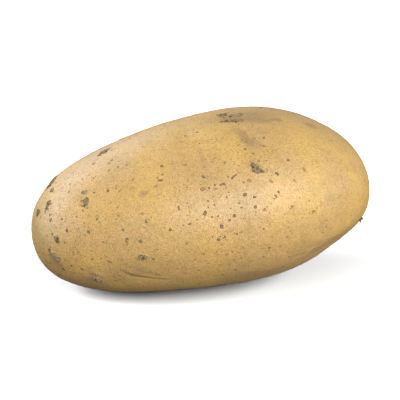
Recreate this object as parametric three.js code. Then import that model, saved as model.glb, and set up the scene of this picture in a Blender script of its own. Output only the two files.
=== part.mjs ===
// A long oval potato with pale yellow skin, lying on its own small flat spot.
// Millimetres, +Z up. The long axis runs along X, with the fuller, raised end at +X.
// The origin is at the middle of the object's box in plan, on the surface that it rests on.

import * as THREE from 'three';
import { mergeVertices } from 'three/addons/utils/BufferGeometryUtils.js';

// Driving dimensions of the smooth body, before its swellings and hollows.
const LENGTH = 115;
const WIDTH = 64;
const HEIGHT = 57;
const END_BLUNTNESS = 2.28; // 2 is a plain ellipsoid, higher is blunter at both ends
const GIRTH_GAIN = 0.02; // share by which the +X end is fuller than the middle

// The middle line of the body, in millimetres reached at the ends.
const TILT = 4.4; // the +X end stands higher by this much, and the -X end lower
const DROOP = -3.4; // both ends bend down
const HOOK = -0.9; // the last stretch turns back towards level
const PLAN_BEND = 1.6; // both ends bend towards the back, seen from above

// The resting spot: how deep it cuts into the round underside, and how softly its rim turns up.
const REST_DEPTH = 1.1;
const REST_RIM = 0.45;

// Each edge of the icosahedron is cut into this many steps plus one.
const MESH_DETAIL = 18;

// Broad swellings and hollows. along runs from -1 to 1 over the length; around is in degrees,
// 0 at the front (-Y), 90 on top and 180 at the back; spread and rise are in millimetres.
const SWELLINGS = [
  { name: 'crown', along: 0.31, around: 95, spread: 19, rise: 1.5 },
  { name: 'dip behind the low end', along: -0.52, around: 120, spread: 13, rise: -0.75 },
  { name: 'waist under the raised end', along: 0.73, around: -51, spread: 10, rise: -2.2 },
  { name: 'slack belly', along: -0.33, around: -65, spread: 18, rise: -1.4 },
  { name: 'saddle', along: 0.02, around: 48, spread: 6.5, rise: -0.7 },
  { name: 'cheek beside the saddle', along: 0.3, around: 35, spread: 9, rise: 0.6 },
  { name: 'flat of the back', along: -0.25, around: 165, spread: 17, rise: -1.5 },
  { name: 'back shoulder', along: 0.42, around: 150, spread: 14, rise: 1.1 },
  { name: 'back heel', along: -0.75, around: 190, spread: 10, rise: 0.8 },
];

// The direction, from the middle of a unit ball, of a place on the skin.
function direction(along, around) {
  const angle = THREE.MathUtils.degToRad(around);
  const radius = Math.sqrt(1 - along * along);
  return new THREE.Vector3(along, -radius * Math.cos(angle), radius * Math.sin(angle));
}

const HALF = new THREE.Vector3(LENGTH / 2, WIDTH / 2, HEIGHT / 2);

// How far a place on the skin is pushed out by the swellings, or in by the hollows.
function swell(ball) {
  const here = ball.clone().multiply(HALF);
  let push = 0;
  for (const { along, around, spread, rise } of SWELLINGS) {
    const distance = here.distanceTo(direction(along, around).multiply(HALF));
    push += rise * Math.exp(-(distance ** 2) / (2 * spread ** 2));
  }
  return push;
}

// The place on the potato's skin that a point of the unit ball goes to.
function skin(ball) {
  const radius = Math.hypot(ball.y, ball.z);
  const blunt = (Math.abs(ball.x) ** END_BLUNTNESS + radius ** END_BLUNTNESS) ** (-1 / END_BLUNTNESS);
  const along = ball.x * blunt;
  const girth = (1 + GIRTH_GAIN * along) * blunt;
  const place = new THREE.Vector3(along, ball.y * girth, ball.z * girth).multiply(HALF);
  place.y += PLAN_BEND * along ** 2;
  place.z += TILT * along + DROOP * along ** 2 + HOOK * along ** 3;
  const outward = ball.clone().divide(HALF).normalize();
  return place.addScaledVector(outward, swell(ball));
}

// The height after resting: level below the spot, and turning up smoothly around its rim.
function settle(height, spot) {
  const over = height - spot;
  if (over <= -REST_RIM) return spot;
  if (over >= REST_RIM) return height;
  return spot + (over + REST_RIM) ** 2 / (4 * REST_RIM);
}

function potatoGeometry() {
  const geometry = new THREE.IcosahedronGeometry(1, MESH_DETAIL);
  geometry.deleteAttribute('normal');
  geometry.deleteAttribute('uv');
  const body = mergeVertices(geometry, 1e-5);
  const points = body.getAttribute('position');
  const place = new THREE.Vector3();
  for (let i = 0; i < points.count; i += 1) {
    place.fromBufferAttribute(points, i);
    place.copy(skin(place));
    points.setXYZ(i, place.x, place.y, place.z);
  }
  body.computeBoundingBox();
  const spot = body.boundingBox.min.z + REST_DEPTH;
  for (let i = 0; i < points.count; i += 1) {
    points.setZ(i, settle(points.getZ(i), spot));
  }
  body.computeBoundingBox();
  const { min, max } = body.boundingBox;
  body.translate(-(min.x + max.x) / 2, -(min.y + max.y) / 2, -min.z);
  body.computeVertexNormals();
  return body;
}

const skinMaterial = new THREE.MeshStandardMaterial({ color: 0xdcb67a, roughness: 0.55, metalness: 0 });

const potato = new THREE.Mesh(potatoGeometry(), skinMaterial);
potato.name = 'potato';

const group = new THREE.Group();
group.add(potato);

export default group;
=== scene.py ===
"""A washed long oval potato: its skin with eyes and folds, cork spots, pinpricks and dried soil.

Laid out as a Blender add-on and run as a script. main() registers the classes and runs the
operators in order. All lengths are in metres, in the frame's own axes: +X
towards the fuller, raised end, -Y the front, +Z up. A place on the skin is given as a distance
along the potato from its middle, in millimetres, and an angle around it, in degrees: 0 at the
front, 90 on top, 180 at the back and 270 underneath.
"""

import math

import bmesh
import bpy
import numpy as np
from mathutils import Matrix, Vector, noise
from mathutils.bvhtree import BVHTree


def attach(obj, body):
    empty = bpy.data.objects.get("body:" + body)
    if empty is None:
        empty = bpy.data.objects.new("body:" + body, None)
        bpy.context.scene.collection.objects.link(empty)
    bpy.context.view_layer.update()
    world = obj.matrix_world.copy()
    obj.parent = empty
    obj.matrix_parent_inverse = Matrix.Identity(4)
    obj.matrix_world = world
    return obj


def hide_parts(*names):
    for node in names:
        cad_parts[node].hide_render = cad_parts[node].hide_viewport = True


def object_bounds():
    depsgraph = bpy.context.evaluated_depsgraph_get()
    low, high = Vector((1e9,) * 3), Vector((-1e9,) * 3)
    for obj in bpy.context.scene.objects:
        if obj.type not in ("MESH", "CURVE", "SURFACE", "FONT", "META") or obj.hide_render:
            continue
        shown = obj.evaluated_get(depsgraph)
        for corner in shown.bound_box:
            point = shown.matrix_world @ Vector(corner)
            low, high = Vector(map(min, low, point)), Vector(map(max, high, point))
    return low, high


bl_info = {
    "name": "Washed potato",
    "version": (1, 0, 0),
    "blender": (4, 5, 0),
    "location": "View3D > Sidebar > Potato",
    "description": "Builds a potato with folded eyes, cork spots and dried soil on its CAD body",
    "category": "Add Mesh",
}

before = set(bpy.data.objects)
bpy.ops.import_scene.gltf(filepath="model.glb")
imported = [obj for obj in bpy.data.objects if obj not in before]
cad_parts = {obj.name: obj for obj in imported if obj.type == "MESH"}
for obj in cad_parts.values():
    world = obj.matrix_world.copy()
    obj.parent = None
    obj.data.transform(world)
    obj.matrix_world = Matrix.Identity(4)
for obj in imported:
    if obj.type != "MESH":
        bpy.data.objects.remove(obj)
CAD_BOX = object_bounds()

MM = 0.001
BODY = "root"
CAD_POTATO = "potato"
SKIN = "potato_skin"

# ---- What is on the skin, each at a place (along mm, around degrees) ---------------------------

# Folds: the creases over the eyes. Each has the start, middle and end of its line, then the
# width of the groove, its depth, and the height of the lip on the side that folds over it, all
# in mm. The lip stands on the left of the line as it runs, seen from outside.
FOLDS = [
    # over the eye on top
    {"line": [(3, 80), (14, 77), (26, 71)], "width": 1.2, "depth": 0.10, "lip": 0.08},
    # the brow low on the front, near the narrow end
    {"line": [(-34, -14), (-28, -22), (-16, -26)], "width": 0.6, "depth": 0.36, "lip": 0.20},
    # the eye under the raised end
    {"line": [(23, -21), (35, -24), (47, -26)], "width": 0.6, "depth": 0.60, "lip": 0.36},
    # a faint brow on the front
    {"line": [(-24, 9), (-28, 12), (-33, 11)], "width": 0.35, "depth": 0.05, "lip": 0.02},
    # the back and the underside
    {"line": [(-38, 150), (-30, 156), (-22, 153)], "width": 1.1, "depth": 0.40, "lip": 0.36},
    {"line": [(0, 196), (8, 203), (17, 199)], "width": 1.2, "depth": 0.45, "lip": 0.40},
    {"line": [(27, 158), (34, 165), (41, 160)], "width": 1.0, "depth": 0.42, "lip": 0.36},
    {"line": [(33, 236), (40, 241), (46, 234)], "width": 1.0, "depth": 0.38, "lip": 0.32},
    {"line": [(46, 108), (50, 116), (50, 128)], "width": 0.9, "depth": 0.35, "lip": 0.30},
    {"line": [(51, 190), (54, 205), (54, 226)], "width": 0.8, "depth": 0.32, "lip": 0.28},
]

# A groove this deep, in mm, gets the full painted shade along its crease. A shallower one is paler.
FULL_SHADE_DEPTH = 0.3

# Soft dents and swellings too small for the CAD body: place, spread along and around in mm, the
# turn of that oval in degrees, and the rise in mm.
DENTS = [
    ((-8, 52), (4.2, 9.0), 8, -0.85),
    ((1, 51), (5.4, 7.0), 0, 1.15),
    ((9, 57), (3.8, 7.0), -28, -1.05),
    ((7, 79), (5.0, 3.4), 0, -0.75),
    ((18, 75), (8.0, 2.8), -6, -0.45),
    ((-28, -19), (7.5, 3.4), -20, -0.42),
    ((36, -27), (9.0, 3.0), -6, -0.95),
    ((38, -14), (9.0, 3.2), -10, 0.50),
    ((-30, 152), (6.0, 3.2), 0, -0.70),
    ((8, 198), (6.5, 3.4), 0, -0.80),
    ((34, 160), (5.5, 3.0), 0, -0.70),
    ((40, 236), (5.5, 3.0), 0, -0.70),
    ((48, 118), (3.6, 3.6), 0, -0.60),
    ((52, 206), (3.6, 3.6), 0, -0.60),
]

# Heights over the floor, in mm: the relief is full above the first, and the skin under the second
# has nothing stuck to it.
RELIEF_ABOVE = 3
BARE_BELOW = 0.8

# The scar where the runner joined the narrow end, on the back of the tip, in mm.
STEM_SCAR = {"place": (-55.5, 168), "radius": 2.2, "depth": 0.9}

# Buds: the dry scales that stand in an eye, as place and the turn of the bud in degrees.
BUDS = [
    ((50.5, -21), -70),
    ((-31, 155), 30),
    ((8, 202), -20),
    ((35, 164), 60),
    ((40, 240), 10),
    ((50, 118), 80),
]

# Larger cork spots: place, radius in mm, stretch, turn in degrees. Those on the sides that these
# lists leave bare are drawn at random.
GREY_SPOTS = [
    # around the crust of soil and up to the eye on top
    ((2, 35), 0.55, 2.2, 40),
    ((3, 36), 0.35, 1.6, 80),
    ((14, 51), 0.45, 1.6, -35),
    ((13, 52), 0.35, 1.4, -35),
    ((10, 47), 0.38, 1.6, -40),
    ((11, 42), 0.45, 1.2, 0),
    ((8, 51), 0.45, 1.3, 0),
    ((6, 54), 0.40, 1.5, 40),
    ((9, 41), 0.50, 1.5, 60),
    ((12, 58), 0.40, 1.3, 0),
    ((15, 57), 0.40, 1.4, 30),
    ((21, 41), 0.50, 1.2, 0),
    ((16, 34), 0.50, 1.3, 0),
    ((16, 24), 0.45, 1.3, -50),
    # the middle of the front
    ((5, 25), 0.62, 1.1, 20),
    ((8, 23), 0.52, 1.2, 0),
    ((8, 18), 0.58, 1.3, 90),
    ((8, 15), 0.32, 1.0, 0),
    ((8, 14), 0.30, 1.3, 30),
    ((3, 21), 0.30, 1.4, 0),
    ((1, 15), 0.55, 1.1, 0),
    ((-3, 10), 0.72, 1.4, 110),
    ((-4, 3), 0.55, 1.2, 130),
    ((-2, 4), 0.42, 1.2, 0),
    ((2, 5), 0.42, 1.2, 90),
    ((-6, 5), 0.30, 1.0, 0),
    ((-3, 0), 0.28, 1.0, 0),
    ((-4, 16), 0.35, 1.0, 0),
    ((-6, 16), 0.38, 1.3, 0),
    ((-8, 18), 0.60, 1.1, 40),
    ((-8, 19), 0.42, 1.4, 60),
    ((-7, 21), 0.32, 1.0, 0),
    ((-2, 32), 0.50, 1.9, 20),
    ((-6, 31), 0.42, 1.1, 0),
    ((-7, 38), 0.60, 1.9, -55),
    ((-16, 23), 0.55, 1.9, 100),
    ((-13, 14), 0.48, 1.1, 0),
    ((-19, 12), 0.48, 1.1, 0),
    ((-20, 40), 0.45, 1.2, 0),
    ((-19, 49), 0.50, 1.3, 0),
    ((-21, 42), 0.32, 1.5, 30),
    # below the middle
    ((-28, 7), 0.50, 1.1, 0),
    ((-23, 1), 0.38, 1.2, 30),
    ((-24, -5), 0.42, 1.2, 0),
    ((-14, 3), 0.38, 1.0, 0),
    # the narrow end
    ((-33, 15), 0.40, 1.3, 80),
    ((-32, 9), 0.45, 1.2, -60),
    ((-26, 18), 0.45, 1.1, 0),
    ((-36, 42), 0.45, 1.2, 30),
    ((-40, 44), 0.35, 1.2, 0),
    ((-37, -7), 0.42, 2.2, -25),
    ((-42, -5), 0.35, 2.0, 30),
    ((-43, 16), 0.58, 1.1, 0),
    ((-49, 19), 0.52, 1.2, 30),
    ((-50, 31), 0.40, 1.1, 0),
    ((-53, 35), 0.62, 1.2, 30),
    ((-53, 42), 0.42, 1.6, 50),
    ((-52, 11), 0.60, 1.8, 70),
    ((-53, 17), 0.42, 1.2, 0),
    ((-54, -5), 0.60, 1.2, 60),
    ((-50, -26), 0.62, 1.3, -20),
    ((-48, -16), 0.42, 1.4, -40),
    ((-45, -17), 0.50, 1.2, 0),
    ((21, -19), 0.42, 1.3, 0),
    ((4, -11), 0.32, 1.2, 0),
]
RUST_SPOTS = [
    ((26, 35), 0.75, 1.5, -70),
    ((14, 30), 0.62, 2.2, -40),
    ((7, 32), 0.68, 1.3, -20),
    ((11, 16), 0.62, 1.1, 0),
    ((-8, 31), 0.75, 1.2, 0),
    ((-4, 30), 0.60, 2.0, 0),
    ((-12, 47), 0.62, 1.3, 0),
    ((-22, 37), 0.55, 1.5, 20),
    ((-29, 57), 0.45, 1.5, 30),
    ((-34, 65), 0.55, 1.3, 50),
    ((-38, 73), 0.60, 1.2, 0),
    ((-46, 64), 0.45, 1.2, 0),
    ((28, 10), 0.66, 1.2, 0),
    ((22, 29), 0.50, 2.2, -30),
    ((15, 22), 0.50, 1.4, -50),
    ((19, -2), 0.45, 1.2, 0),
    ((17, -8), 0.42, 1.2, 0),
    ((12, -5), 0.36, 1.6, 20),
    ((-1, -7), 0.50, 1.1, 0),
    ((-11, -8), 0.42, 1.2, 0),
    ((-20, -3), 0.38, 1.3, 0),
    ((-25, 0), 0.34, 1.0, 0),
    ((-27, 23), 0.42, 1.1, 0),
    ((-34, 24), 0.45, 1.3, 90),
    ((-34, 29), 0.36, 1.4, 90),
    ((-39, 8), 0.42, 1.1, 0),
    ((-44, 23), 0.40, 1.2, 0),
    ((-35, -25), 0.38, 1.1, 0),
    ((54, 34), 0.45, 3.4, 85),
    ((-54.5, -50), 0.55, 3.0, -50),
]

# Crusts of dried soil: place, length and breadth in mm, turn in degrees. Each is a soft oval that
# spreads over this share of its length and breadth. The stains and pale patches have their own.
CRUST_SHARE = 0.54
SOIL_PATCHES = [
    ((10, 37), 3.4, 2.8, -25),
    ((9, 39), 1.6, 1.4, 0),
    ((11.5, 35), 1.4, 1.2, -40),
    ((-42.5, 39), 2.6, 2.2, 60),
    ((-42.5, 47), 1.8, 1.0, 0),
    ((-34, 83), 4.2, 2.2, 20),
    ((-50, 101), 5.6, 2.8, 30),
    ((-53, 59), 3.0, 1.7, 45),
    ((-55.7, 69), 2.2, 1.9, 60),
    ((-51, 78), 1.8, 1.2, 40),
    ((-52.5, -12), 3.8, 1.9, -15),
    ((-27, -4), 2.6, 1.6, 10),
    ((-40, -28), 3.2, 2.0, -25),
    ((-52, 11), 1.2, 2.0, 20),
    ((6, 75), 3.0, 2.2, -6),
    ((9, 74), 3.8, 2.4, -6),
    ((5.5, 84), 3.0, 2.0, 0),
    ((10, 81), 4.0, 1.8, -3),
    ((-22, 200), 4.5, 3.0, 20),
    ((22, 226), 3.2, 2.4, 0),
    ((10, 142), 3.4, 2.6, -30),
    ((-47, 158), 4.0, 1.8, 15),
    ((45, 182), 2.8, 2.2, 0),
    ((-36, 250), 4.0, 2.4, 0),
    ((28, 250), 3.0, 2.2, 40),
    ((-14, 170), 2.4, 1.6, 0),
    ((8, 203), 5.0, 1.3, 8),
    ((-29, 156), 4.4, 1.2, 6),
]

# Brown scuffs and stains without crumbs, and in a few rows painted shade: place, length and breadth in mm,
# turn, strength 0 to 1.
STAIN_AND_SHADE_SHARE = 0.5
BROWN_STAINS_AND_SHADE = [
    ((12, 78), 20, 9, -4, 0.85),
    ((15, 73), 14, 6, -4, 0.65),
    ((18, 71), 3, 2, 20, 1.0),
    ((13, 74), 3, 1.6, -10, 1.0),
    ((22, 73), 5, 2.4, -4, 1.0),
    # mostly painted shade of the valley beside the swelling on top, over a faint real smear
    ((9.5, 58), 13, 4.5, -62, 0.75),
    ((14, 62), 9, 6, -20, 0.35),
    ((-6, 50), 12, 2.6, 92, 0.4),
    ((-26, 34), 3.2, 2.2, 10, 0.7),
    ((-33, 85), 6, 2.4, 25, 0.6),
    ((-37, 76), 5, 2, 20, 0.5),
    ((-44, 80), 5, 1.5, 25, 0.5),
    ((-29, 58), 4, 3, 0, 0.3),
    ((-41, -24), 4, 2.5, -25, 0.9),
    ((-33, -22), 12, 6, -25, 0.4),
    ((34, 71), 5, 3, -8, 0.9),
    ((-29, 8), 6, 4, -25, 0.4),
    ((-52, -20), 6, 4, -30, 0.7),
    ((46, 38), 6, 6, 0, 0.3),
    # these three darken the skin low on the front: the first towards the bottom edge, the second is painted
    # shade in the hollow under the crease of the eye under the raised end, the third along the low brow
    ((12, -33), 30, 9, 0, 0.5),
    ((36, -30), 22, 5, -6, 0.8),
    ((-30, -20), 14, 5, -20, 0.5),
    ((10, 150), 16, 10, 0, 0.4),
    ((-25, 230), 20, 12, 0, 0.4),
]

# Patches of pale bloom, in the same form.
PALE_SHARE = 0.625
PALE_PATCHES = [
    ((-50, 50), 8, 6, 20, 1.0),
    ((-46, 66), 20, 10, 0, 0.7),
    ((-28, 84), 30, 12, 0, 0.7),
    ((-40, -20), 5, 3, 0, 0.6),
    ((48, 150), 12, 14, 0, 0.6),
    ((-10, 190), 18, 9, 0, 0.5),
]

# ---- Small tools -------------------------------------------------------------------------------


def linear(hex_colour, alpha=1.0):
    """An sRGB hex colour such as "#d9b070" as linear red, green, blue and alpha."""
    shares = [int(hex_colour[i:i + 2], 16) / 255 for i in (1, 3, 5)]
    curved = [s / 12.92 if s <= 0.04045 else ((s + 0.055) / 1.055) ** 2.4 for s in shares]
    return (*curved, alpha)


def add_node(tree, kind, inputs=None, **settings):
    """Adds a node with its settings, and links a socket or sets a value on each given input."""
    made = tree.nodes.new(kind)
    for name, value in settings.items():
        setattr(made, name, value)
    for key, value in (inputs or {}).items():
        if isinstance(value, bpy.types.NodeSocket):
            tree.links.new(value, made.inputs[key])
        else:
            made.inputs[key].default_value = value
    return made


def new_object(name, mesh):
    """Links a new object that holds the mesh, at the origin."""
    made = bpy.data.objects.new(name, mesh)
    bpy.context.scene.collection.objects.link(made)
    return made


def settle_piece(obj):
    """Makes a finished piece ride on the potato's body."""
    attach(obj, BODY)


def smooth_shading(mesh):
    """Shades every face of the mesh smooth."""
    mesh.polygons.foreach_set("use_smooth", [True] * len(mesh.polygons))


def vectors(mesh, field):
    """A vector that each vertex of the mesh has, such as "co" or "normal", as rows of an array."""
    values = np.empty(len(mesh.vertices) * 3)
    mesh.vertices.foreach_get(field, values)
    return values.reshape(-1, 3)


def store(mesh, name, values):
    """Keeps one number, or one vector, for each vertex of the mesh under a name."""
    values = np.asarray(values, np.float32)
    kind, field = ("FLOAT", "value") if values.ndim == 1 else ("FLOAT_VECTOR", "vector")
    mesh.attributes.new(name, kind, "POINT").data.foreach_set(field, values.ravel())


class Surface:
    """Finds places on a potato mesh from a distance along it and an angle around it."""

    def __init__(self, mesh):
        corners = [v.co.copy() for v in mesh.vertices]
        self.tree = BVHTree.FromPolygons(corners, [tuple(p.vertices) for p in mesh.polygons])
        self.narrow_tip = min(corners, key=lambda c: c.x)
        self.full_tip = max(corners, key=lambda c: c.x)
        self.reach = (self.full_tip - self.narrow_tip).length

    def place(self, along, around):
        """The point on the skin and its outward normal."""
        share = (along * MM - self.narrow_tip.x) / (self.full_tip.x - self.narrow_tip.x)
        middle = self.narrow_tip.lerp(self.full_tip, share)
        angle = math.radians(around)
        outward = Vector((0, -math.cos(angle), math.sin(angle)))
        point, normal, _, _ = self.tree.ray_cast(middle + outward * self.reach, -outward)
        if point is None:
            raise ValueError(f"no skin at {along} mm along and {around} degrees around")
        return point, normal

    def axes(self, along, around, turn=0):
        """Point, and unit vectors along, around and out, turned on the skin by turn degrees."""
        point, out = self.place(along, around)
        sideways = out.cross(Vector((1, 0, 0))).normalized()
        angle = math.radians(around)
        if sideways.dot(Vector((0, math.sin(angle), math.cos(angle)))) < 0:
            sideways = -sideways
        lengthways = sideways.cross(out).normalized()
        if lengthways.x < 0:
            lengthways = -lengthways
        spin = math.radians(turn)
        first = lengthways * math.cos(spin) + sideways * math.sin(spin)
        second = sideways * math.cos(spin) - lengthways * math.sin(spin)
        return point, first, second, out


def oval(points, surface, place, spread, turn=0):
    """How deep each point lies in a soft oval patch of skin: 1 in its middle, 0 far from it.

    The patch is twice as thick as it is long, so that the curve of the skin stays inside it.
    """
    centre, first, second, out = surface.axes(*place, turn)
    offset = points - np.array(centre)
    u = offset @ np.array(first) / (spread[0] * MM)
    v = offset @ np.array(second) / (spread[1] * MM)
    w = offset @ np.array(out) / (max(spread) * MM * 2)
    return np.exp(-(u * u + v * v + w * w))


def patch(points, surface, share, place, length, breadth, turn, strength=1.0):
    """How strongly one row of a list of patches shows at each point."""
    return strength * oval(points, surface, place, (length * share, breadth * share), turn)


def deepest(points, surface, share, rows):
    """How strongly the strongest of a list of patches shows at each point, from 0 to 1."""
    return np.max([patch(points, surface, share, *row) for row in rows], axis=0)


def fold_relief(points, normals, surface, fold):
    """The rise in metres that a fold gives each point, and how strongly painted shade darkens it in the
    groove.
    """
    steps = 25
    reach = 16 * MM  # no part of a fold is farther than this from its middle
    lip_place, lip_width = 1.9, 1.3  # in widths of the groove
    shares = np.linspace(0, 1, steps)
    start, middle, end = (np.array(p, float) for p in fold["line"])
    line = [
        (1 - t) * (1 - 2 * t) * start + 4 * t * (1 - t) * middle + t * (2 * t - 1) * end
        for t in shares
    ]
    spine = np.array([surface.place(*p)[0] for p in line])
    heading = np.gradient(spine, axis=0)
    heading /= np.linalg.norm(heading, axis=1)[:, None]
    width = fold["width"] * MM
    near = np.nonzero(np.linalg.norm(points - spine[steps // 2], axis=1) < reach)[0]
    offset = points[near][:, None, :] - spine[None]
    gap = np.linalg.norm(offset, axis=2)
    nearest = gap.argmin(1)
    rows = np.arange(len(near))
    away = offset[rows, nearest]
    side = np.sign((np.cross(normals[near], heading[nearest]) * away).sum(1))
    beyond = np.abs((away * heading[nearest]).sum(1))
    distance = side * gap[rows, nearest]
    taper = np.sin(np.pi * shares[nearest]) ** 0.8 * np.exp(-((beyond / width) ** 2))
    groove = taper * np.exp(-((distance / width) ** 2))
    lip = taper * np.exp(-(((distance - lip_place * width) / (lip_width * width)) ** 2))
    rise = np.zeros(len(points))
    rise[near] = (fold["lip"] * lip - fold["depth"] * groove) * MM
    depth = np.zeros(len(points))
    # painted shade along the crease: a deeper groove gets more, up to full at the depth set above
    depth[near] = groove * min(1.0, fold["depth"] / FULL_SHADE_DEPTH)
    return rise, depth


def wander(points, wavelength, octaves=2):
    """Smooth noise from about -1 to 1 at each point, with bumps about a wavelength (mm) apart."""
    smoothness, lacunarity = 0.8, 2.0
    scaled = points / (wavelength * MM)
    return np.array([noise.fractal(Vector(p), smoothness, lacunarity, octaves) for p in scaled])


# ---- Materials ---------------------------------------------------------------------------------
# Sockets that share a name are given by number. A Map Range node takes its value at 0, the range
# that it comes from at 1 and 2, and the one that it goes to at 3 and 4. A Mix node takes its share
# at 0 and its two colours at 6 and 7. A Random Value node has its range at 2 and 3, and its
# number comes out at 1.


def new_material(name, values):
    """A material, its tree, its Principled shader with these values, and its Object coordinates."""
    material = bpy.data.materials.new(name)
    material.use_nodes = True
    tree = material.node_tree
    tree.nodes.clear()
    shader = add_node(tree, "ShaderNodeBsdfPrincipled", values)
    add_node(tree, "ShaderNodeOutputMaterial", {"Surface": shader.outputs["BSDF"]})
    place = add_node(tree, "ShaderNodeTexCoord").outputs["Object"]
    return material, tree, shader, place


def speckle_of(tree, place, grains):
    """Noises by name, each from the size of its patches in mm, its detail and its roughness."""
    return {
        name: add_node(
            tree,
            "ShaderNodeTexNoise",
            {"Vector": place, "Scale": 1 / (size * MM), "Detail": detail, "Roughness": roughness},
        ).outputs["Fac"]
        for name, (size, detail, roughness) in grains.items()
    }


def coat(tree, under, over, mask, low, high, most=1.0):
    """Lays a colour over another where a mask rises from low to high, at most this strongly."""
    share = add_node(
        tree,
        "ShaderNodeMapRange",
        {0: mask, 1: low, 2: high, 3: 0.0, 4: most},
        interpolation_type="SMOOTHSTEP",
    )
    mixed = {0: share.outputs[0], 6: under, 7: linear(over)}
    return add_node(tree, "ShaderNodeMix", mixed, data_type="RGBA").outputs[2]


def grained(tree, colour, grain, darkest, lightest):
    """A colour made darker and lighter by a grain."""
    light = add_node(tree, "ShaderNodeMapRange", {0: grain, 1: 0.3, 2: 0.7, 3: darkest, 4: lightest})
    mixed = {0: 1.0, 6: colour, 7: light.outputs[0]}
    return add_node(tree, "ShaderNodeMix", mixed, data_type="RGBA", blend_type="MULTIPLY").outputs[2]


def potato_periderm(settings):
    """Potato skin: a thin corky periderm over yellow flesh, grown in soil, then washed and dried.

    It reads as straw yellow with a paler bloom, fine brown pores and a soft waxy sheen.
    """
    material, tree, shader, place = new_material(
        "potato periderm, washed",
        {
            "IOR": 1.5,
            "Sheen Weight": 0.05,
            "Sheen Roughness": 0.45,
            "Sheen Tint": linear("#f3e6cf"),
        },
    )
    grains = speckle_of(
        tree,
        place,
        {
            "broad": (21, 2, 0.5),
            "cloud": (5.0, 3, 0.55),
            "freckle": (1.3, 3, 0.6),
            "pore": (0.62, 1, 0.5),
            "leather": (0.42, 2, 0.6),
            "crumb": (0.8, 4, 0.7),
        },
    )
    marks = {
        name: add_node(tree, "ShaderNodeAttribute", attribute_name=name).outputs["Fac"]
        for name in ("pale", "stain", "soil", "specks", "groove")
    }
    colour = coat(tree, linear(settings.golden), settings.straw, grains["broad"], 0.38, 0.62)
    colour = coat(tree, colour, settings.bloom, marks["pale"], 0.0, 1.0, 0.8)
    colour = coat(tree, colour, settings.rosy, grains["cloud"], 0.48, 0.75, 0.48)
    colour = coat(tree, colour, settings.freckle, grains["freckle"], 0.50, 0.75, 0.70)
    # brown scuffs and stains, and in a few rows painted shade, broken up by clouds
    stain_and_shade_mask = add_node(
        tree, "ShaderNodeMath", {0: grains["cloud"], 1: 0.9, 2: marks["stain"]}, operation="MULTIPLY_ADD"
    )
    colour = coat(tree, colour, settings.stain, stain_and_shade_mask.outputs[0], 0.48, 1.20, 0.85)
    colour = grained(tree, colour, grains["cloud"], 0.92, 1.08)
    colour = grained(tree, colour, grains["leather"], 0.75, 1.23)
    pores = add_node(
        tree, "ShaderNodeMath", {0: marks["specks"], 1: 0.06, 2: grains["pore"]}, operation="MULTIPLY_ADD"
    )
    colour = coat(tree, colour, settings.pore, pores.outputs[0], 0.70, 0.76, 0.75)
    # painted shade: the creases of the folds are darkened with the pore colour
    colour = coat(tree, colour, settings.pore, marks["groove"], 0.40, 0.90, 0.75)
    film = add_node(tree, "ShaderNodeMath", {0: marks["soil"], 1: grains["crumb"]}, operation="MULTIPLY")
    colour = coat(tree, colour, settings.soil_film, film.outputs[0], 0.17, 0.27, 0.9)
    # painted shade: where the soil lies thick, the skin under the crumbs is dark brown, so the gaps between
    # them read as shaded
    colour = coat(tree, colour, settings.crumb_gap_shade, marks["soil"], 0.45, 0.75, 0.75)
    tree.links.new(colour, shader.inputs["Base Color"])
    dull = add_node(
        tree, "ShaderNodeMapRange", {0: film.outputs[0], 1: 0.15, 2: 0.3, 3: settings.roughness, 4: 0.9}
    )
    tree.links.new(dull.outputs[0], shader.inputs["Roughness"])
    leather = add_node(
        tree, "ShaderNodeMath", {0: grains["freckle"], 1: 1.5, 2: grains["leather"]}, operation="MULTIPLY_ADD"
    )
    raised = add_node(
        tree, "ShaderNodeBump", {"Strength": 0.8, "Distance": 0.00013, "Height": leather.outputs[0]}
    )
    tree.links.new(raised.outputs[0], shader.inputs["Normal"])
    return material


def lenticel_cork(settings):
    """Lenticel cork: dead, open cells that fill a pore in the skin.

    It reads as dull specks from rust brown to grey, with a darker crack around the cap.
    """
    material, tree, shader, place = new_material(
        "lenticel cork", {"Roughness": 0.85, "Specular IOR Level": 0.3}
    )
    grains = speckle_of(tree, place, {"cell": (0.35, 2, 0.6)})
    marks = {
        name: add_node(tree, "ShaderNodeAttribute", attribute_name=name).outputs["Fac"]
        for name in ("tone", "reach")
    }
    colour = coat(tree, linear(settings.rust), settings.grey, marks["tone"], 0.1, 0.7)
    ring = add_node(
        tree, "ShaderNodeMapRange", {0: marks["reach"], 1: 0.35, 2: 0.75, 3: 0.0, 4: 1.0}
    ).outputs[0]
    crack = add_node(tree, "ShaderNodeMath", {0: ring, 1: marks["tone"]}, operation="MULTIPLY")
    colour = coat(tree, colour, settings.crack, crack.outputs[0], 0.1, 0.8)
    tree.links.new(grained(tree, colour, grains["cell"], 0.75, 1.2), shader.inputs["Base Color"])
    return material


def dried_soil(settings):
    """Dried field soil: silt and fine sand that stuck to the skin as it dried.

    It reads as matt grey-tan crumbs. The dark brown gaps between them are painted shade on the skin
    underneath.
    """
    material, tree, shader, place = new_material(
        "dried soil crumbs", {"Roughness": 0.95, "Specular IOR Level": 0.2}
    )
    grains = speckle_of(tree, place, {"silt": (0.4, 3, 0.7)})
    tone = add_node(tree, "ShaderNodeAttribute", attribute_name="tone").outputs["Fac"]
    colour = coat(tree, linear(settings.dark), settings.light, tone, 0.05, 0.55)
    tree.links.new(grained(tree, colour, grains["silt"], 0.7, 1.25), shader.inputs["Base Color"])
    return material


def bud_scale_husk(settings):
    """Bud scale husk: the dry leaf scales left around a bud in an eye of a potato.

    It reads as dark brown with paler flecks.
    """
    material, tree, shader, place = new_material("bud scale husk", {"Roughness": 0.7})
    grains = speckle_of(tree, place, {"fibre": (0.3, 2, 0.6)})
    colour = grained(tree, linear(settings.husk), grains["fibre"], 0.6, 1.4)
    tree.links.new(colour, shader.inputs["Base Color"])
    return material


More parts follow.
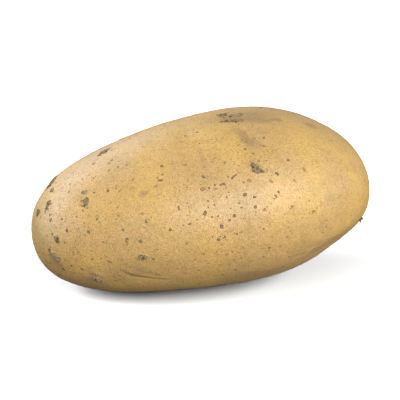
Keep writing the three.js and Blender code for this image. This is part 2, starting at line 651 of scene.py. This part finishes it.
def matt_sheet(name, colour):
    """Seamless studio paper, or felt: fibres that scatter all light, so it has no highlight."""
    values = {"Base Color": linear(colour), "Roughness": 0.9, "Specular IOR Level": 0.0}
    return new_material(name, values)[0]


def lit_backdrop():
    """A white studio backdrop, lit evenly: it reads as plain white behind the floor."""
    values = {
        "Base Color": linear("#000000"),
        "Emission Color": linear("#ffffff"),
        "Emission Strength": 1.0,
    }
    return new_material("lit white backdrop", values)[0]


# ---- Geometry Nodes: bodies scattered on the skin, and bodies set on chosen places -------------


def new_geometry_tree(name, inputs):
    """A geometry tree with a geometry input, the named inputs and their defaults."""
    tree = bpy.data.node_groups.new(name, "GeometryNodeTree")
    tree.interface.new_socket("Geometry", in_out="INPUT", socket_type="NodeSocketGeometry")
    for label, (kind, default) in inputs.items():
        socket = tree.interface.new_socket(label, in_out="INPUT", socket_type=kind)
        if default is not None:
            socket.default_value = default
    tree.interface.new_socket("Geometry", in_out="OUTPUT", socket_type="NodeSocketGeometry")
    return tree, add_node(tree, "NodeGroupInput").outputs


def set_input(modifier, label, value):
    """Sets a geometry modifier's input, found by its label."""
    for item in modifier.node_group.interface.items_tree:
        if item.name == label and item.in_out == "INPUT":
            modifier[item.identifier] = value
            return
    raise KeyError(label)


def finish_tree(tree, given, instances):
    """Realizes the instances, roughens their outlines, and gives them smooth shade and material."""
    real = add_node(tree, "GeometryNodeRealizeInstances", {"Geometry": instances})
    where = add_node(tree, "GeometryNodeInputPosition").outputs[0]
    wobble = add_node(
        tree, "ShaderNodeTexNoise", {"Vector": where, "Scale": given["Wobbles per metre"]}
    )
    centred = add_node(
        tree, "ShaderNodeVectorMath", {0: wobble.outputs["Color"], 1: (0.5, 0.5, 0.5)}, operation="SUBTRACT"
    )
    offset = add_node(
        tree, "ShaderNodeVectorMath", {0: centred.outputs[0], "Scale": given["Wobble"]}, operation="SCALE"
    )
    moved = add_node(
        tree, "GeometryNodeSetPosition", {"Geometry": real.outputs[0], "Offset": offset.outputs[0]}
    )
    shaded = add_node(tree, "GeometryNodeSetShadeSmooth", {"Geometry": moved.outputs[0]})
    done = add_node(
        tree, "GeometryNodeSetMaterial", {"Geometry": shaded.outputs[0], "Material": given["Material"]}
    )
    add_node(tree, "NodeGroupOutput", {"Geometry": done.outputs[0]})


def button(tree, given):
    """A ball of radius 1, pushed down around its axis. Each tree flattens it on the skin.

    Its reach attribute runs from 0 on the axis to 1 at the rim.
    """
    ball = add_node(
        tree,
        "GeometryNodeMeshUVSphere",
        {"Segments": given["Segments"], "Rings": given["Rings"], "Radius": 1.0},
    )
    where = add_node(tree, "GeometryNodeInputPosition")
    split = add_node(tree, "ShaderNodeSeparateXYZ", {0: where.outputs[0]})
    flat = add_node(tree, "ShaderNodeCombineXYZ", {0: split.outputs[0], 1: split.outputs[1]})
    reach = add_node(tree, "ShaderNodeVectorMath", {0: flat.outputs[0]}, operation="LENGTH").outputs[1]
    kept_reach = add_node(
        tree,
        "GeometryNodeStoreNamedAttribute",
        {"Geometry": ball.outputs["Mesh"], "Name": "reach", "Value": reach},
    )
    bowl = add_node(
        tree,
        "ShaderNodeMapRange",
        {0: reach, 1: 0.0, 2: 0.7, 3: -1.0, 4: 0.0},
        interpolation_type="SMOOTHSTEP",
    )
    down = add_node(tree, "ShaderNodeMath", {0: bowl.outputs[0], 1: given["Dent"]}, operation="MULTIPLY")
    offset = add_node(tree, "ShaderNodeCombineXYZ", {2: down.outputs[0]}).outputs[0]
    return add_node(
        tree, "GeometryNodeSetPosition", {"Geometry": kept_reach.outputs[0], "Offset": offset}
    ).outputs[0]


BODY_INPUTS = {
    "Segments": ("NodeSocketInt", 12),
    "Rings": ("NodeSocketInt", 6),
    "Dent": ("NodeSocketFloat", 0.0),
    "Wobble": ("NodeSocketFloat", 0.0),
    "Wobbles per metre": ("NodeSocketFloat", 1000.0),
    "Material": ("NodeSocketMaterial", None),
}


def scatter_tree():
    """Small bodies scattered over a skin, thickest where its density attribute is high."""
    tree, given = new_geometry_tree(
        "scattered bodies",
        {
            "Density attribute": ("NodeSocketString", "specks"),
            "Most per square metre": ("NodeSocketFloat", 1e5),
            "Least gap": ("NodeSocketFloat", 0.001),
            "Smallest radius": ("NodeSocketFloat", 0.0001),
            "Largest radius": ("NodeSocketFloat", 0.0003),
            "Thickness share": ("NodeSocketFloat", 0.4),
            "Seed": ("NodeSocketInt", 1),
            "Tone skew": ("NodeSocketFloat", 1.0),
            **BODY_INPUTS,
        },
    )
    density = add_node(tree, "GeometryNodeInputNamedAttribute", {"Name": given["Density attribute"]})
    spread = add_node(
        tree,
        "GeometryNodeDistributePointsOnFaces",
        {
            "Mesh": given["Geometry"],
            "Distance Min": given["Least gap"],
            "Density Max": given["Most per square metre"],
            "Density Factor": density.outputs[0],
            "Seed": given["Seed"],
        },
        distribute_method="POISSON",
    )

    # most bodies are small, and each random value but the tone has a seed of its own
    chance = add_node(tree, "FunctionNodeRandomValue", {2: 0.0, 3: 1.0, "Seed": given["Seed"]})
    skewed = add_node(tree, "ShaderNodeMath", {0: chance.outputs[1], 1: 1.8}, operation="POWER").outputs[0]
    radius = add_node(
        tree,
        "ShaderNodeMapRange",
        {0: skewed, 1: 0.0, 2: 1.0, 3: given["Smallest radius"], 4: given["Largest radius"]},
    ).outputs[0]
    later = add_node(tree, "ShaderNodeMath", {0: given["Seed"], 1: 11.0}, operation="ADD").outputs[0]
    stretch = add_node(tree, "FunctionNodeRandomValue", {2: 0.8, 3: 1.5, "Seed": later})
    shape = add_node(
        tree, "ShaderNodeCombineXYZ", {0: stretch.outputs[1], 1: 1.0, 2: given["Thickness share"]}
    )
    size = add_node(tree, "ShaderNodeVectorMath", {0: shape.outputs[0], "Scale": radius}, operation="SCALE")
    last = add_node(tree, "ShaderNodeMath", {0: given["Seed"], 1: 23.0}, operation="ADD").outputs[0]
    angle = add_node(tree, "FunctionNodeRandomValue", {2: 0.0, 3: math.tau, "Seed": last})
    spin = add_node(tree, "FunctionNodeAxisAngleToRotation", {"Axis": (0, 0, 1), "Angle": angle.outputs[1]})
    turned = add_node(
        tree,
        "FunctionNodeRotateRotation",
        {0: spread.outputs["Rotation"], 1: spin.outputs[0]},
        rotation_space="LOCAL",
    )
    bodies = add_node(
        tree,
        "GeometryNodeInstanceOnPoints",
        {
            "Points": spread.outputs["Points"],
            "Instance": button(tree, given),
            "Rotation": turned.outputs[0],
            "Scale": size.outputs[0],
        },
    )
    tone = add_node(tree, "FunctionNodeRandomValue", {2: 0.0, 3: 1.0, "Seed": later})
    tone = add_node(tree, "ShaderNodeMath", {0: tone.outputs[1], 1: given["Tone skew"]}, operation="POWER")
    toned = add_node(
        tree,
        "GeometryNodeStoreNamedAttribute",
        {"Geometry": bodies.outputs[0], "Name": "tone", "Value": tone.outputs[0]},
        domain="INSTANCE",
    )
    finish_tree(tree, given, toned.outputs[0])
    return tree


def placed_tree():
    """One body on each point of a mesh, sized and turned by the point's own attributes."""
    tree, given = new_geometry_tree("placed bodies", BODY_INPUTS)
    size, out, ahead = (
        add_node(tree, "GeometryNodeInputNamedAttribute", {"Name": name}, data_type="FLOAT_VECTOR")
        for name in ("size", "out", "heading")
    )
    turned = add_node(
        tree,
        "FunctionNodeAxesToRotation",
        {0: out.outputs[0], 1: ahead.outputs[0]},
        primary_axis="Z",
        secondary_axis="X",
    )
    bodies = add_node(
        tree,
        "GeometryNodeInstanceOnPoints",
        {
            "Points": given["Geometry"],
            "Instance": button(tree, given),
            "Rotation": turned.outputs[0],
            "Scale": size.outputs[0],
        },
    )
    finish_tree(tree, given, bodies.outputs[0])
    return tree


def grow(name, mesh, tree, values):
    """Runs a geometry tree on a mesh and returns the result as a plain object of that name."""
    host = new_object(name + "_host", mesh)
    modifier = host.modifiers.new("grow", "NODES")
    modifier.node_group = tree
    for label, value in values.items():
        set_input(modifier, label, value)
    graph = bpy.context.evaluated_depsgraph_get()
    result = bpy.data.meshes.new_from_object(host.evaluated_get(graph), depsgraph=graph)
    host.modifiers.remove(modifier)
    bpy.data.objects.remove(host)
    if not result.polygons:
        raise RuntimeError(f"nothing grew for {name}")
    result.name = name
    return new_object(name, result)


# ---- Settings ----------------------------------------------------------------------------------


def hex_property(name, description, default):
    """A colour as an sRGB hex value."""
    return bpy.props.StringProperty(name=name, description=description, default=default, maxlen=7)


def length_property(name, description, default):
    """A length in metres."""
    return bpy.props.FloatProperty(
        name=name, description=description, default=default, unit="LENGTH", precision=6
    )


def number_property(name, description, default, **more):
    """A number, or an angle or a focal length where more says so."""
    return bpy.props.FloatProperty(name=name, description=description, default=default, **more)


class PotatoSkinSettings(bpy.types.PropertyGroup):
    """Sizes and colours of the skin."""

    golden: hex_property("Golden", "Main colour of the skin", "#c19e5b")
    straw: hex_property("Straw", "Second colour, in broad patches", "#b6965f")
    bloom: hex_property("Bloom", "Pale bloom near the narrow end", "#c7a97b")
    rosy: hex_property("Rosy", "Faint rosy clouds in the skin", "#bb9062")
    freckle: hex_property("Freckle", "Fine brownish freckles", "#a98048")
    # the pore colour also paints the shade in the creases of the folds
    pore: hex_property("Pore", "The finest dark pores", "#6b4f2c")
    # this brown is also the painted shade in a few rows of the brown patches
    stain: hex_property("Stain", "Brown scuffs and stains", "#987b52")
    soil_film: hex_property("Soil film", "Thin dry soil in the pores", "#86704f")
    # painted shade in the gaps between crumbs of soil
    crumb_gap_shade: hex_property("Soil gap", "Dark gaps between crumbs of soil", "#5f4b33")
    roughness: number_property("Roughness", "Roughness of the waxy skin", 0.46, min=0, max=1)
    lump_height: length_property("Lump height", "How far the broad lumps rise and fall", 0.00016)
    crust_height: length_property("Crust height", "How far soil stands out before its crumbs", 0.00022)
    grain_height: length_property("Grain height", "How far the leathery grain rises and falls", 0.000055)


class PotatoCorkSettings(bpy.types.PropertyGroup):
    """Sizes and colours of the cork spots and pinpricks."""

    grey: hex_property("Grey cork", "Colour of the oldest spots", "#86705c")
    rust: hex_property("Rust cork", "Colour of the youngest spots", "#a57b54")
    crack: hex_property("Crack", "Colour of the dark crack around a spot", "#684f33")
    height: length_property("Spot height", "How far a spot of 0.5 mm radius stands out", 0.00007)
    pinprick: length_property("Largest pinprick", "Radius of the largest pinprick", 0.00038)
    gap: length_property("Least gap", "Least distance between two pinpricks", 0.0009)


class PotatoSoilSettings(bpy.types.PropertyGroup):
    """Sizes and colours of the dried soil and the bud scales."""

    dark: hex_property("Dark soil", "Colour of the darkest crumbs", "#54432d")
    light: hex_property("Light soil", "Colour of the palest crumbs", "#917e60")
    husk: hex_property("Bud scales", "Colour of the dry scales on a bud", "#6a4a2a")
    crumb: length_property("Largest crumb", "Radius of the largest crumb", 0.00046)


class PotatoStageSettings(bpy.types.PropertyGroup):
    """The camera, lights and floor."""

    paper: hex_property("Paper", "Grey of the studio paper, which its own lights turn white", "#a4a4a4")
    table: hex_property("Table", "Colour of the brown table that sends light back up", "#443729")
    azimuth: number_property(
        "Azimuth", "Where the camera stands, 0 in front of the potato", math.radians(-15), subtype="ANGLE"
    )
    elevation: number_property(
        "Elevation", "How high the camera looks down from", math.radians(18), subtype="ANGLE"
    )
    distance: length_property("Distance", "From the camera to the middle of the potato", 0.4435)
    focal_length: number_property("Focal length", "Of the camera's lens", 120, unit="CAMERA")
    key: number_property("Key light", "Strength of the front softbox; the right one has a share", 4.45)
    fill: number_property("Side light", "Strength of the left softbox; one behind has a share", 3.2)
    back: number_property("Back light", "Strength of the broad softbox behind", 1.2)
    sheet: number_property("Paper light", "Strength of the two low lights that only the paper has", 18)
    sky: number_property("Surround", "Strength of the white surround", 0.27)


# ---- Operators ---------------------------------------------------------------------------------


def fine_copy(cad):
    """The CAD potato's triangles, joined into one closed mesh and made fine and smooth."""
    joined = bmesh.new()
    joined.from_mesh(cad.data)
    bmesh.ops.remove_doubles(joined, verts=joined.verts, dist=1e-6)
    corners = [v.co.copy() for v in joined.verts]
    faces = [[v.index for v in f.verts] for f in joined.faces]
    joined.free()
    mesh = bpy.data.meshes.new(SKIN)
    mesh.from_pydata(corners, [], faces)
    coarse = new_object(SKIN + "_coarse", mesh)
    finer = coarse.modifiers.new("finer", "SUBSURF")
    finer.levels = 2
    finer.render_levels = 2
    graph = bpy.context.evaluated_depsgraph_get()
    fine = bpy.data.meshes.new_from_object(coarse.evaluated_get(graph), depsgraph=graph)
    bpy.data.objects.remove(coarse)
    fine.name = SKIN
    return fine


def skin_relief(points, normals, surface, settings):
    """How far each point of the clean skin rises, in metres, and how much painted shade its grooves give it.
    """
    far = points + 1  # noise from a metre away, so that the two grains have nothing in common
    rise = settings.lump_height * wander(points, 15)
    rise += settings.grain_height * (wander(points, 3.5, 3) + wander(far, 1.8, 2))
    for place, spread, turn, height in DENTS:
        rise += height * MM * oval(points, surface, place, spread, turn)
    groove = np.zeros(len(points))
    for fold in FOLDS:
        lift, depth = fold_relief(points, normals, surface, fold)
        rise += lift
        groove = np.maximum(groove, depth)
    return rise, groove


def soil_cover(points, surface):
    """How much soil covers each point: ragged crusts, and a thin scatter of crumbs around them."""
    unevenness = 0.6
    crust_edge = 0.25  # a crust starts where its ragged oval is this deep
    steepness = 3
    loose_share = 0.10
    near = deepest(points, surface, CRUST_SHARE, SOIL_PATCHES)
    ragged = near * (1 + unevenness * wander(points, 2.0))
    crust = np.clip((ragged - crust_edge) * steepness, 0, 1)
    return np.maximum(crust, near * loose_share)


def pinprick_density(points):
    """How thick the pinpricks stand: most at the narrow end, then in a band near the middle."""
    along = points[:, 0] / MM
    narrow_end = np.clip((-along - 25) / 25, 0, 1)  # from 25 mm before the middle to 50 mm
    band = np.exp(-(((along + 2) / 20) ** 2))  # 2 mm before the middle, and 20 mm to each side
    clusters = np.clip(wander(points, 6) * 1.6, -0.6, 1.2)
    return np.clip(0.12 + 0.85 * narrow_end + 0.45 * band + 0.30 * clusters, 0.03, 1)


class POTATO_OT_skin(bpy.types.Operator):
    """Build the skin: the whole surface of the potato with its eyes, folds and relief"""

    bl_idname = "potato.skin"
    bl_label = "Skin"

    def execute(self, context):
        settings = context.scene.potato_skin
        mesh = fine_copy(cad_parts[CAD_POTATO])
        surface = Surface(mesh)
        points = vectors(mesh, "co")
        normals = vectors(mesh, "normal")

        rise, groove = skin_relief(points, normals, surface, settings)
        scar = oval(points, surface, STEM_SCAR["place"], (STEM_SCAR["radius"],) * 2)
        rise -= STEM_SCAR["depth"] * MM * scar
        soil = soil_cover(points, surface)
        rise += settings.crust_height * soil * (1 + 0.6 * wander(points, 1.5))
        # the scar's brown, the scuffs and stains, and a few rows of painted shade
        stain = np.maximum(0.5 * scar, deepest(points, surface, STAIN_AND_SHADE_SHARE, BROWN_STAINS_AND_SHADE))
        pale = deepest(points, surface, PALE_SHARE, PALE_PATCHES)

        # the resting spot stays flat
        height = np.clip(points[:, 2] / (RELIEF_ABOVE * MM), 0, 1)
        rise *= height * height * (3 - 2 * height)
        points += normals * rise[:, None]
        points[:, 2] = np.maximum(points[:, 2], 0)
        mesh.vertices.foreach_set("co", points.ravel())

        clear = np.clip(points[:, 2] / MM - BARE_BELOW, 0, 1)
        marks = {
            "specks": pinprick_density(points) * clear,
            "soil": soil * clear,
            "stain": stain,
            # painted shade along the creases of the folds
            "groove": groove,
            "pale": pale,
        }
        for name, values in marks.items():
            store(mesh, name, values)
        smooth_shading(mesh)
        mesh.update()
        skin = new_object(SKIN, mesh)
        mesh.materials.clear()
        mesh.materials.append(potato_periderm(settings))
        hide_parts(CAD_POTATO)
        settle_piece(skin)
        return {"FINISHED"}


def anchors(name, surface, spots, height):
    """A mesh of loose points, one for each cork spot, with the attributes that size and turn it."""
    rows = [(surface.axes(*place, turn), radius, stretch) for place, radius, stretch, turn in spots]
    mesh = bpy.data.meshes.new(name)
    mesh.from_pydata([axes[0] for axes, _, _ in rows], [], [])
    store(mesh, "heading", [axes[1] for axes, _, _ in rows])
    store(mesh, "out", [axes[3] for axes, _, _ in rows])
    thick = height / (0.5 * MM)  # a spot of 0.5 mm radius stands out by the height
    store(mesh, "size", [(r * s ** 0.5 * MM, r / s ** 0.5 * MM, r * MM * thick) for _, r, s in rows])
    return mesh


def stray_spots(rng, count):
    """Cork spots for the sides that no list describes: the back and the underside."""
    spots = []
    for _ in range(count):
        along = rng.uniform(-52, 50)
        around = rng.uniform(92, 318)
        radius = 0.35 + 0.4 * rng.random() ** 2  # most are small
        spots.append(((along, around), radius, rng.uniform(1, 1.8), rng.uniform(0, 180)))
    return spots


class POTATO_OT_cork_spots(bpy.types.Operator):
    """Set the larger cork spots on the skin"""

    bl_idname = "potato.cork_spots"
    bl_label = "Cork spots"

    def execute(self, context):
        settings = context.scene.potato_cork
        surface = Surface(bpy.data.objects[SKIN].data)
        rng = np.random.default_rng(5)
        drawn = stray_spots(rng, 110)
        strays = [spot for spot in drawn if surface.place(*spot[0])[0].z > MM]  # clear of the floor
        spots = GREY_SPOTS + RUST_SPOTS + strays
        # a tone of 0 is rust and 1 is grey
        tones = [rng.uniform(0.65, 1.0) for _ in GREY_SPOTS]
        tones += [rng.uniform(0.0, 0.35) for _ in RUST_SPOTS]
        tones += [rng.random() for _ in strays]
        mesh = anchors("cork_spot_places", surface, spots, settings.height)
        store(mesh, "tone", tones)
        piece = grow(
            "cork_spots",
            mesh,
            placed_tree(),
            {
                "Segments": 14,
                "Rings": 6,
                "Dent": 0.5,
                "Wobble": 0.00035,
                "Wobbles per metre": 1300.0,
                "Material": lenticel_cork(settings),
            },
        )
        settle_piece(piece)
        return {"FINISHED"}


def scatter(name, values):
    """Scatters small bodies over a copy of the skin, as one piece."""
    coarse = {**values, "Segments": 7, "Rings": 4}
    piece = grow(name, bpy.data.objects[SKIN].data.copy(), scatter_tree(), coarse)
    settle_piece(piece)


class POTATO_OT_pinpricks(bpy.types.Operator):
    """Scatter fine cork pinpricks over the skin, thickest at the narrow end"""

    bl_idname = "potato.pinpricks"
    bl_label = "Pinpricks"

    def execute(self, context):
        settings = context.scene.potato_cork
        scatter(
            "pinpricks",
            {
                "Density attribute": "specks",
                "Most per square metre": 1.6e5,
                "Least gap": settings.gap,
                "Smallest radius": 0.00012,
                "Largest radius": settings.pinprick,
                "Thickness share": 0.22,
                "Seed": 3,
                "Tone skew": 1.1,
                "Dent": 0.2,
                "Wobble": 0.00010,
                "Wobbles per metre": 2500.0,
                "Material": bpy.data.materials["lenticel cork"],
            },
        )
        return {"FINISHED"}


class POTATO_OT_soil(bpy.types.Operator):
    """Stick crumbs of dried soil to the skin, in crusts and in the folds"""

    bl_idname = "potato.soil"
    bl_label = "Dried soil"

    def execute(self, context):
        settings = context.scene.potato_soil
        scatter(
            "soil_crumbs",
            {
                "Density attribute": "soil",
                "Most per square metre": 2.0e7,
                "Least gap": 0.00024,
                "Smallest radius": 0.00014,
                "Largest radius": settings.crumb,
                "Thickness share": 0.6,
                "Seed": 8,
                "Tone skew": 1.0,
                "Dent": 0.0,
                "Wobble": 0.00020,
                "Wobbles per metre": 2600.0,
                "Material": dried_soil(settings),
            },
        )
        return {"FINISHED"}


def husk_scale(shape, surface, place, turn, length, width, lift):
    """Adds one closed, pointed, slightly cupped dry scale that stands on the skin at a place."""
    point, along, across, out = surface.axes(*place, turn)
    rows, columns = 6, 4
    sunk = 0.15 * MM  # its foot starts below the skin
    sheets = []
    for thickness in (0.0, 0.14 * MM):
        sheet = []
        for i in range(rows + 1):
            share = i / rows
            half = width * 0.5 * math.sin(math.pi * (0.25 + 0.72 * share))
            row = []
            for j in range(columns + 1):
                side = 2 * j / columns - 1
                forward = along * (share - 0.2) * length
                up = out * (lift * share ** 1.5 + 0.25 * width * side * side + thickness - sunk)
                row.append(shape.verts.new(point + forward + across * half * side + up))
            sheet.append(row)
        sheets.append(sheet)
    lower, upper = sheets
    for i in range(rows):
        for j in range(columns):
            shape.faces.new((upper[i][j], upper[i + 1][j], upper[i + 1][j + 1], upper[i][j + 1]))
            shape.faces.new((lower[i][j], lower[i][j + 1], lower[i + 1][j + 1], lower[i + 1][j]))
    rim = [(i, 0) for i in range(rows)] + [(rows, j) for j in range(columns)]
    rim += [(i, columns) for i in range(rows, 0, -1)] + [(0, j) for j in range(columns, 0, -1)]
    for (i, j), (k, m) in zip(rim, rim[1:] + rim[:1]):
        shape.faces.new((upper[i][j], lower[i][j], lower[k][m], upper[k][m]))


class POTATO_OT_bud_scales(bpy.types.Operator):
    """Set the dry scales on the buds in the eyes"""

    bl_idname = "potato.bud_scales"
    bl_label = "Bud scales"

    def execute(self, context):
        surface = Surface(bpy.data.objects[SKIN].data)
        rng = np.random.default_rng(11)
        shape = bmesh.new()
        for (along, around), turn in BUDS:
            for _ in range(3):  # three scales fan out on each bud
                shift = rng.uniform(-0.5, 0.5, 2)
                place = (along + shift[0], around + shift[1] * 2)
                length = rng.uniform(1.2, 1.9) * MM
                width = rng.uniform(0.6, 1.0) * MM
                fanned = turn + rng.uniform(-35, 35)
                husk_scale(shape, surface, place, fanned, length, width, 0.55 * length)
        bmesh.ops.recalc_face_normals(shape, faces=shape.faces)
        mesh = bpy.data.meshes.new("bud_scales")
        shape.to_mesh(mesh)
        shape.free()
        smooth_shading(mesh)
        mesh.materials.append(bud_scale_husk(context.scene.potato_soil))
        settle_piece(new_object("bud_scales", mesh))
        return {"FINISHED"}


def heading(azimuth, elevation):
    """The unit vector towards an azimuth, 0 in front and positive to the right, and an elevation."""
    flat = math.cos(elevation)
    return Vector((math.sin(azimuth) * flat, -math.cos(azimuth) * flat, math.sin(elevation)))


def add_softbox(name, azimuth, elevation, strength, width):
    """A broad far light, width degrees across, from an azimuth and elevation in degrees."""
    light = bpy.data.lights.new(name, "SUN")
    light.energy = strength
    light.angle = math.radians(width)
    lamp = new_object(name, light)
    towards = heading(math.radians(azimuth), math.radians(elevation))
    lamp.rotation_euler = towards.to_track_quat("Z", "Y").to_euler()
    return lamp


def camera_only(obj):
    """Shows a stage object to the camera, and hides it from the light that reaches the potato."""
    obj.visible_diffuse = False
    obj.visible_glossy = False
    obj.visible_transmission = False
    obj.visible_shadow = False


def flat_sheet(name, half, height, material):
    """A square level sheet for the stage."""
    mesh = bpy.data.meshes.new(name)
    ends = [(-half, -half), (half, -half), (half, half), (-half, half)]
    mesh.from_pydata([(x, y, height) for x, y in ends], [], [(0, 1, 2, 3)])
    mesh.materials.append(material)
    sheet = new_object(name, mesh)
    return sheet


class POTATO_OT_stage(bpy.types.Operator):
    """Set the white paper, the backdrop, the soft lights and the camera"""

    bl_idname = "potato.stage"
    bl_label = "Stage"

    def execute(self, context):
        scene = context.scene
        settings = scene.potato_stage
        low, high = (Vector(corner) for corner in CAD_BOX)
        middle = (low + high) / 2

        # the camera sees the paper, but the potato is lit from below by the brown table under it
        half, gap = 4.0, 0.0004
        paper = flat_sheet("floor", half, low.z, matt_sheet("studio paper", settings.paper))
        camera_only(paper)
        table = flat_sheet("table", half, low.z - gap, matt_sheet("brown felt", settings.table))
        table.visible_camera = False

        dome_mesh = bpy.data.meshes.new("backdrop")
        shape = bmesh.new()
        bmesh.ops.create_uvsphere(shape, u_segments=32, v_segments=16, radius=5.0)
        shape.to_mesh(dome_mesh)
        shape.free()
        dome_mesh.materials.append(lit_backdrop())
        dome = new_object("backdrop", dome_mesh)
        camera_only(dome)

        aim = middle + Vector((-0.0015, 0, -0.001))  # a little left of the middle and below it
        away = heading(settings.azimuth, settings.elevation)
        lens = bpy.data.cameras.new("camera")
        lens.lens = settings.focal_length
        lens.sensor_width = 36
        lens.clip_start = 0.01
        camera = new_object("camera", lens)
        camera.location = aim + away * settings.distance
        camera.rotation_euler = (-away).to_track_quat("-Z", "Y").to_euler()
        scene.camera = camera

        lamps = [
            add_softbox("key", 20, 16, settings.key, 38),
            add_softbox("right", 64, 12, settings.key * 0.15, 50),
            add_softbox("left", -104, 8, settings.fill, 40),
            add_softbox("back", -150, 34, settings.fill * 0.25, 40),
            add_softbox("back_broad", -150, 32, settings.back, 50),
        ]
        # the paper has its own lights, so that only the dark under the belly is left of the shadow
        paper_lamps = [
            add_softbox("paper_above", -15, 50, settings.sheet * 0.15, 50),
            add_softbox("paper_right", 67, 20, settings.sheet, 40),
            add_softbox("paper_left", -105, 24, settings.sheet, 40),
        ]
        lit = bpy.data.collections.new("paper only")
        lit.objects.link(paper)
        for lamp in paper_lamps:
            lamp.light_linking.receiver_collection = lit
        spared = bpy.data.collections.new("all but the paper")
        spared.objects.link(paper)
        spared.collection_objects[0].light_linking.link_state = "EXCLUDE"
        for lamp in lamps:
            lamp.light_linking.receiver_collection = spared

        world = bpy.data.worlds.new("white surround")
        world.use_nodes = True
        scene.world = world
        backdrop = world.node_tree.nodes["Background"]
        backdrop.inputs["Color"].default_value = linear("#ffffff")
        backdrop.inputs["Strength"].default_value = settings.sky
        scene.view_settings.view_transform = "Standard"
        return {"FINISHED"}


class POTATO_PT_panel(bpy.types.Panel):
    """Lists the potato's settings and the buttons that build it"""

    bl_idname = "POTATO_PT_panel"
    bl_label = "Washed potato"
    bl_space_type = "VIEW_3D"
    bl_region_type = "UI"
    bl_category = "Potato"

    def draw(self, context):
        for key, label, operators in SECTIONS:
            box = self.layout.box()
            box.label(text=label)
            group = getattr(context.scene, key)
            for name in group.__annotations__:
                box.prop(group, name)
            for operator in operators:
                box.operator(operator)


SECTIONS = [
    ("potato_skin", "Skin", ["potato.skin"]),
    ("potato_cork", "Cork", ["potato.cork_spots", "potato.pinpricks"]),
    ("potato_soil", "Soil and buds", ["potato.soil", "potato.bud_scales"]),
    ("potato_stage", "Stage", ["potato.stage"]),
]
SETTINGS = {
    "potato_skin": PotatoSkinSettings,
    "potato_cork": PotatoCorkSettings,
    "potato_soil": PotatoSoilSettings,
    "potato_stage": PotatoStageSettings,
}
CLASSES = [
    *SETTINGS.values(),
    POTATO_OT_skin,
    POTATO_OT_cork_spots,
    POTATO_OT_pinpricks,
    POTATO_OT_soil,
    POTATO_OT_bud_scales,
    POTATO_OT_stage,
    POTATO_PT_panel,
]


def register():
    for kind in CLASSES:
        bpy.utils.register_class(kind)
    for key, kind in SETTINGS.items():
        setattr(bpy.types.Scene, key, bpy.props.PointerProperty(type=kind))


def unregister():
    for key in SETTINGS:
        delattr(bpy.types.Scene, key)
    for kind in reversed(CLASSES):
        bpy.utils.unregister_class(kind)


def main():
    register()
    bpy.ops.potato.skin()
    bpy.ops.potato.cork_spots()
    bpy.ops.potato.pinpricks()
    bpy.ops.potato.soil()
    bpy.ops.potato.bud_scales()
    bpy.ops.potato.stage()


if __name__ == "__main__":
    main()
